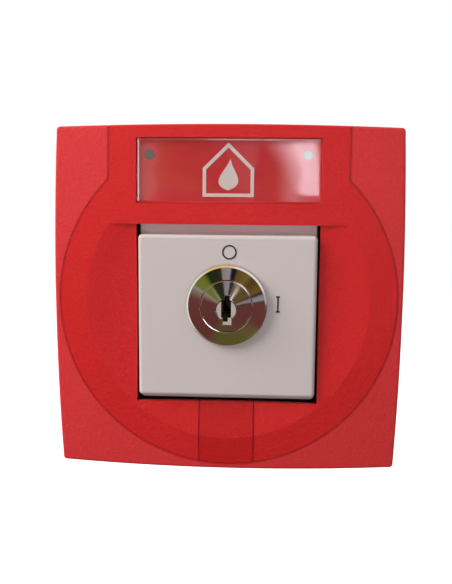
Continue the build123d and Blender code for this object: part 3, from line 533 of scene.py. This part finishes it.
# one threaded screw, placed on every point: the shank runs down from the seat, the head stands on it
def threadedScrewTree():
    tree = bpy.data.node_groups.new("threadedScrews", "GeometryNodeTree")
    tree.interface.new_socket(name="Points", in_out="INPUT", socket_type="NodeSocketGeometry")
    sizes = {
        "Shank Radius": 0.0015, "Shank Length": 0.01, "Head Radius": 0.0028, "Head Height": 0.0018,
        "Recess": 0.0015, "Blade": 0.0006, "Pitch": 0.0011,
    }
    for label, default in sizes.items():
        socket = tree.interface.new_socket(name=label, in_out="INPUT", socket_type="NodeSocketFloat")
        socket.default_value = default
    crossSocket = tree.interface.new_socket(name="Crossed", in_out="INPUT", socket_type="NodeSocketBool")
    crossSocket.default_value = True
    tree.interface.new_socket(name="Turn", in_out="INPUT", socket_type="NodeSocketVector")
    tree.interface.new_socket(name="Finish", in_out="INPUT", socket_type="NodeSocketMaterial")
    tree.interface.new_socket(name="Screws", in_out="OUTPUT", socket_type="NodeSocketGeometry")
    start = addNode(tree, "NodeGroupInput", (-1400, 0))
    end = addNode(tree, "NodeGroupOutput", (900, 0))
    given = start.outputs

    def vector(*values):
        node = addNode(tree, "ShaderNodeCombineXYZ")
        for socket, value in zip(node.inputs, values):
            give(tree, socket, value)
        return node.outputs[0]

    def moved(mesh, height):
        node = addNode(tree, "GeometryNodeTransform")
        feed(tree, mesh, node.inputs["Geometry"])
        feed(tree, vector(0, 0, height), node.inputs["Translation"])
        return node.outputs[0]

    # shank with a ridge wound round it
    core = addNode(tree, "GeometryNodeMeshCylinder", (-900, 300))
    core.inputs["Vertices"].default_value = thread["coreSides"]
    coreRadius = mathNode(tree, "MULTIPLY", given["Shank Radius"], thread["core"])
    feed(tree, coreRadius, core.inputs["Radius"])
    feed(tree, given["Shank Length"], core.inputs["Depth"])
    shank = moved(core.outputs["Mesh"], mathNode(tree, "MULTIPLY", given["Shank Length"], -0.5))
    spiral = addNode(tree, "GeometryNodeCurveSpiral", (-900, 0))
    spiral.inputs["Resolution"].default_value = thread["turnSteps"]
    turns = mathNode(tree, "DIVIDE", given["Shank Length"], given["Pitch"])
    feed(tree, turns, spiral.inputs["Rotations"])
    feed(tree, coreRadius, spiral.inputs["Start Radius"])
    feed(tree, coreRadius, spiral.inputs["End Radius"])
    feed(tree, given["Shank Length"], spiral.inputs["Height"])
    ridge = addNode(tree, "GeometryNodeCurvePrimitiveCircle", (-900, -250))
    ridge.inputs["Resolution"].default_value = thread["ridgeSides"]
    ridgeRadius = mathNode(tree, "MULTIPLY", given["Shank Radius"], thread["ridge"])
    feed(tree, ridgeRadius, ridge.inputs["Radius"])
    winding = addNode(tree, "GeometryNodeCurveToMesh", (-600, 0))
    feed(tree, spiral.outputs[0], winding.inputs["Curve"])
    feed(tree, ridge.outputs[0], winding.inputs["Profile Curve"])
    winding.inputs["Fill Caps"].default_value = True
    wound = moved(winding.outputs[0], mathNode(tree, "MULTIPLY", given["Shank Length"], -1.0))

    # domed head, cut flat below and slotted on top
    ball = addNode(tree, "GeometryNodeMeshUVSphere", (-900, 600))
    ball.inputs["Segments"].default_value = thread["headSides"]
    ball.inputs["Rings"].default_value = thread["headRings"]
    ball.inputs["Radius"].default_value = 1.0
    pressed = addNode(tree, "GeometryNodeTransform", (-650, 600))
    feed(tree, ball.outputs["Mesh"], pressed.inputs["Geometry"])
    headSize = vector(given["Head Radius"], given["Head Radius"], given["Head Height"])
    feed(tree, headSize, pressed.inputs["Scale"])

    def cutter(length, width, height):
        cube = addNode(tree, "GeometryNodeMeshCube")
        feed(tree, vector(length, width, given["Head Height"]), cube.inputs["Size"])
        return moved(cube.outputs["Mesh"], height)

    wide = mathNode(tree, "MULTIPLY", given["Head Radius"], 3.0)
    below = cutter(wide, wide, mathNode(tree, "MULTIPLY", given["Head Height"], -0.5))
    length = mathNode(tree, "MULTIPLY", given["Recess"], 2.0)
    firstSlot = cutter(length, given["Blade"], given["Head Height"])
    secondSlot = cutter(given["Blade"], length, given["Head Height"])
    crossed = addNode(tree, "GeometryNodeSwitch", input_type="GEOMETRY")
    feed(tree, given["Crossed"], crossed.inputs["Switch"])
    feed(tree, secondSlot, crossed.inputs["True"])
    head = addNode(tree, "GeometryNodeMeshBoolean", (-200, 500), operation="DIFFERENCE")
    feed(tree, pressed.outputs[0], head.inputs["Mesh 1"])
    for tool in (crossed.outputs[0], firstSlot, below):
        feed(tree, tool, head.inputs["Mesh 2"])

    whole = addNode(tree, "GeometryNodeJoinGeometry", (100, 200))
    for part in (shank, wound, head.outputs["Mesh"]):
        feed(tree, part, whole.inputs[0])
    placed = addNode(tree, "GeometryNodeInstanceOnPoints", (300, 100))
    feed(tree, given["Points"], placed.inputs["Points"])
    feed(tree, whole.outputs[0], placed.inputs["Instance"])
    feed(tree, given["Turn"], placed.inputs["Rotation"])
    solid = addNode(tree, "GeometryNodeRealizeInstances", (500, 100))
    feed(tree, placed.outputs[0], solid.inputs[0])
    finished = addNode(tree, "GeometryNodeSetMaterial", (700, 100))
    feed(tree, solid.outputs[0], finished.inputs[0])
    feed(tree, given["Finish"], finished.inputs["Material"])
    feed(tree, finished.outputs[0], end.inputs[0])
    return tree


screwTree = threadedScrewTree()
terminalPitch = 5.08

# millimetres: depths from the wall, places as (x, z); a head below zero faces the wall
screwSets = dict(
    frameScrews=dict(
        node="frame_screws", body="housing", places=[(x, z) for x in (-55, 55) for z in (-20, 20)],
        shank=1.45, tip=6.0, seat=20.5, headRadius=2.8, head=1.9, recess=1.5, blade=0.6,
        pitch=1.15, crossed=True,
    ),
    insertScrews=dict(
        node="insert_screws", body="housing", places=[(x, z) for x in (-27, 27) for z in (-31.5, 32)],
        shank=1.45, tip=5.0, seat=27.7, headRadius=2.4, head=1.7, recess=1.4, blade=0.6,
        pitch=1.15, crossed=True,
    ),
    boardScrews=dict(
        node="board_screws", body="housing", places=[(x, 53) for x in (-36, 36)],
        shank=1.25, tip=5.0, seat=12.6, headRadius=2.5, head=1.6, recess=1.4, blade=0.6,
        pitch=1.0, crossed=True,
    ),
    retainerScrews=dict(
        node="retainer_screws", body="door", places=[(x, -52.4) for x in (-18, 18)],
        shank=0.95, tip=30.6, seat=26.2, headRadius=1.9, head=-1.2, recess=1.1, blade=0.45,
        pitch=0.8, crossed=True,
    ),
    terminalScrews=dict(
        node="terminal_screws", body="housing", places=[((i - 3.5) * terminalPitch, 45) for i in range(8)],
        shank=1.2, tip=17.6, seat=19.0, headRadius=1.8, head=1.8, recess=2.0, blade=0.7,
        pitch=0.6, crossed=False,
    ),
)


def addScrews(name, look):
    points = bpy.data.meshes.new(name + "Points")
    points.from_pydata([(x * mm, -look["seat"] * mm, z * mm) for x, z in look["places"]], [], [])
    carrier = bpy.data.objects.new(name + "Points", points)
    bpy.context.scene.collection.objects.link(carrier)
    tool = carrier.modifiers.new("screws", "NODES")
    tool.node_group = screwTree
    items = screwTree.interface.items_tree
    sockets = {item.name: item.identifier for item in items if item.in_out == "INPUT"}
    values = {
        "Shank Radius": look["shank"] * mm,
        "Shank Length": abs(look["seat"] - look["tip"]) * mm,
        "Head Radius": look["headRadius"] * mm,
        "Head Height": abs(look["head"]) * mm,
        "Recess": look["recess"] * mm,
        "Blade": look["blade"] * mm,
        "Pitch": look["pitch"] * mm,
        "Crossed": look["crossed"],
        "Turn": (math.copysign(math.radians(90), look["head"]), 0.0, 0.0),
        "Finish": zincSteel,
    }
    for label, value in values.items():
        tool[sockets[label]] = value
    depsgraph = bpy.context.evaluated_depsgraph_get()
    mesh = bpy.data.meshes.new_from_object(carrier.evaluated_get(depsgraph), depsgraph=depsgraph)
    bpy.data.objects.remove(carrier)
    mesh.set_sharp_from_angle(angle=math.radians(35))
    standIn(newPiece(name, mesh), look["node"], look["body"])


for name, look in screwSets.items():
    addScrews(name, look)
print("screws ready")

studio = dict(
    floorZ=-0.40, floorSize=6.0, floorGlow=0.95,
    ambientTop=(0.42, 0.41, 0.41), ambientBottom=(0.13, 0.12, 0.12),
    rimColour=(0.95, 0.93, 0.92), rimWarm=(1.0, 0.62, 0.22), rimGlow=1.2,
    roomTone=0.68, innerTone=(0.26, 0.080, 0.074),
)
lamps = dict(
    keyLight=dict(place=(-0.78, -0.42, 0.58), size=0.8, power=11.0, colour=(1, 0.985, 0.97)),
    fillLight=dict(place=(0.10, -1.2, -0.30), size=0.5, power=2.4, colour=(1, 0.97, 0.97)),
)
# what a mirror facing the room shows, by the clock round the view axis: (turn from 9 o'clock, colour)
roomPatches = [
    (0.00, (0.28, 0.085, 0.075)), (0.17, (0.24, 0.070, 0.062)), (0.21, (0.20, 0.18, 0.045)),
    (0.30, (0.21, 0.19, 0.05)), (0.36, (0.29, 0.30, 0.08)), (0.385, (0.26, 0.085, 0.075)),
    (0.470, (0.27, 0.085, 0.078)), (0.483, (0.10, 0.08, 0.08)), (0.492, (0.62, 0.54, 0.60)),
    (0.512, (0.46, 0.40, 0.44)), (0.524, (0.03, 0.025, 0.02)), (0.536, (0.30, 0.19, 0.05)),
    (0.60, (0.16, 0.10, 0.028)), (0.64, (0.34, 0.22, 0.06)), (0.70, (0.24, 0.14, 0.035)),
    (0.712, (0.01, 0.01, 0.015)), (0.735, (0.03, 0.03, 0.06)), (0.742, (0.62, 0.55, 0.60)),
    (0.785, (0.50, 0.45, 0.48)), (0.795, (0.05, 0.045, 0.03)), (0.872, (0.03, 0.045, 0.010)),
    (0.895, (0.30, 0.35, 0.05)), (0.945, (0.34, 0.38, 0.07)), (0.955, (0.62, 0.55, 0.50)),
    (0.975, (0.42, 0.28, 0.22)), (1.00, (0.28, 0.085, 0.075)),
]
# bright panes in the room: each side fades between two slopes from the view axis
roomPanes = [
    dict(left=(0.095, 0.215), right=(0.32, 0.40), bottom=(0.0, 0.06), top=(0.33, 0.42),
         slant=0.2, share=1.0, colour=(10.5, 9.9, 10.9)),
    dict(left=(-0.52, -0.42), right=(-0.32, -0.19), bottom=(-0.75, -0.55), top=(0.30, 0.40),
         slant=0.0, share=0.55, colour=(2.4, 2.2, 2.2)),
    dict(left=(-0.095, -0.07), right=(-0.03, -0.005), bottom=(-0.215, -0.20), top=(-0.12, -0.105),
         slant=0.0, share=0.8, colour=(0.95, 0.90, 0.86)),
]


def addFloor():
    mesh = bpy.data.meshes.new("studioFloor")
    half = studio["floorSize"] / 2
    corners = [(-half, -half), (half, -half), (half, half), (-half, half)]
    mesh.from_pydata([(x, y, studio["floorZ"]) for x, y in corners], [], [(0, 1, 2, 3)])
    floor = newPiece("studioFloor", mesh)
    material, tree, shader = newMaterial("paleFloor")
    shader.inputs["Base Color"].default_value = (0.9, 0.9, 0.9, 1)
    shader.inputs["Roughness"].default_value = 0.9
    shader.inputs["Emission Color"].default_value = (1, 1, 1, 1)
    shader.inputs["Emission Strength"].default_value = studio["floorGlow"]
    mesh.materials.append(material)
    floor.visible_diffuse = False
    floor.visible_glossy = False


# a round lamp that faces the part and doesn't show in the chrome
def addLight(name, look):
    data = bpy.data.lights.new(name, "AREA")
    data.shape = "DISK"
    data.size = look["size"]
    data.energy = look["power"]
    data.color = look["colour"]
    lamp = bpy.data.objects.new(name, data)
    lamp.location = look["place"]
    lamp.rotation_euler = (-Vector(look["place"])).to_track_quat("-Z", "Y").to_euler()
    lamp.visible_glossy = False
    bpy.context.scene.collection.objects.link(lamp)


def product(tree, *values):
    result = values[0]
    for value in values[1:]:
        result = mathNode(tree, "MULTIPLY", result, value)
    return result


def dimmed(tree, colour, share):
    return blendColour(tree, 1.0, colour, (share,) * 3, kind="MULTIPLY")


# dark, patchy room round the view axis
def roomColour(tree, way, toRight, upward, ahead):
    clock = addNode(tree, "ShaderNodeCombineXYZ", (-1000, 200))
    feed(tree, toRight, clock.inputs[0])
    feed(tree, upward, clock.inputs[1])
    gradient = addNode(tree, "ShaderNodeTexGradient", (-800, 200), gradient_type="RADIAL")
    feed(tree, clock.outputs[0], gradient.inputs[0])
    turn = gradient.outputs["Fac"]
    blur = cloudNode(tree, way, 5.0, 3.0, where=(-800, -50))
    shift = mathNode(tree, "MULTIPLY_ADD", blur, 0.03, -0.015)
    patches = addNode(tree, "ShaderNodeValToRGB", (-500, 200))
    stops = patches.color_ramp.elements
    stops.remove(stops[1])
    stops[0].position, stops[0].color = roomPatches[0][0], (*roomPatches[0][1], 1)
    for place, colour in roomPatches[1:]:
        stops.new(place).color = (*colour, 1)
    feed(tree, mathNode(tree, "ADD", turn, shift), patches.inputs[0])
    # low in the room and close to the axis there is less green
    low = product(tree, ramp(tree, turn, 0.19, 0.22), ramp(tree, turn, 0.42, 0.38))
    inner = product(tree, low, ramp(tree, ahead, 0.66, 0.76))
    room = blendColour(tree, inner, patches.outputs[0], studio["innerTone"])
    return dimmed(tree, room, studio["roomTone"])


# bright surroundings past the dark room, warmer overhead: how much of them, and their colour
def rimLight(tree, toRight, upward, ahead):
    side = mathNode(tree, "ABSOLUTE", toRight)
    tilt = mathNode(tree, "SUBTRACT", ahead, product(tree, upward, 0.22))
    tilt = mathNode(tree, "SUBTRACT", tilt, product(tree, side, 0.08))
    lit = mathNode(tree, "SUBTRACT", product(tree, upward, 0.9), product(tree, toRight, 0.45))
    edge = product(tree, ramp(tree, tilt, 0.28, 0.14), ramp(tree, lit, -0.75, 0.1))
    warm = product(tree, ramp(tree, upward, 0.55, 0.9), ramp(tree, toRight, 0.30, 0.05))
    glow = blendColour(tree, warm, studio["rimColour"], studio["rimWarm"])
    return edge, dimmed(tree, glow, studio["rimGlow"])


def addWorld():
    world = bpy.data.worlds.new("studioWorld")
    world.use_nodes = True
    tree = world.node_tree
    tree.nodes.clear()
    out = addNode(tree, "ShaderNodeOutputWorld", (900, 0))
    way = addNode(tree, "ShaderNodeTexCoord", (-1400, 0)).outputs["Generated"]
    toRight, away, upward = splitNode(tree, way, (-1200, 0))
    ahead = mathNode(tree, "MULTIPLY", away, -1.0)
    edge, glow = rimLight(tree, toRight, upward, ahead)
    mirror = blendColour(tree, edge, roomColour(tree, way, toRight, upward, ahead), glow)

    # slopes sideways and upwards from the view axis
    safe = mathNode(tree, "MAXIMUM", ahead, 0.02)
    across = mathNode(tree, "DIVIDE", toRight, safe)
    up = mathNode(tree, "DIVIDE", upward, safe)
    for pane in roomPanes:
        slanted = mathNode(tree, "MULTIPLY_ADD", up, pane["slant"], across)
        mask = product(
            tree, ramp(tree, slanted, *pane["left"]), ramp(tree, slanted, *reversed(pane["right"])),
            ramp(tree, up, *pane["bottom"]), ramp(tree, up, *reversed(pane["top"])), pane["share"],
        )
        mirror = blendColour(tree, mask, mirror, pane["colour"])

    # mirrors see the room, dull surfaces an even light, the camera plain white
    height = ramp(tree, upward, -0.9, 0.9)
    ambient = blendColour(tree, height, studio["ambientBottom"], studio["ambientTop"])
    path = addNode(tree, "ShaderNodeLightPath", (100, 500))
    light = blendColour(tree, path.outputs["Is Glossy Ray"], ambient, mirror)
    seen = blendColour(tree, path.outputs["Is Camera Ray"], light, (1, 1, 1))
    shade = addNode(tree, "ShaderNodeBackground", (700, 0))
    feed(tree, seen, shade.inputs["Color"])
    feed(tree, shade.outputs[0], out.inputs[0])
    bpy.context.scene.world = world


view = dict(place=(0.01398, -0.3142, 0.0421), pan=2.9496, tilt=-7.7710, roll=0.4687, lens=45.980)


# looks along +Y, then turned in degrees to the left, upwards and round its own axis
def addCamera():
    data = bpy.data.cameras.new("viewCamera")
    data.sensor_width = 36.0
    data.lens = view["lens"]
    camera = bpy.data.objects.new("viewCamera", data)
    turned = Matrix.Rotation(math.radians(90), 4, "X")
    for angle, axis in (("pan", "Y"), ("tilt", "X"), ("roll", "Z")):
        turned = turned @ Matrix.Rotation(math.radians(view[angle]), 4, axis)
    camera.matrix_world = Matrix.Translation(view["place"]) @ turned
    bpy.context.scene.collection.objects.link(camera)
    bpy.context.scene.camera = camera


addFloor()
addWorld()
for name, look in lamps.items():
    addLight(name, look)
addCamera()
bpy.context.scene.view_settings.view_transform = "Standard"
print("stage ready")
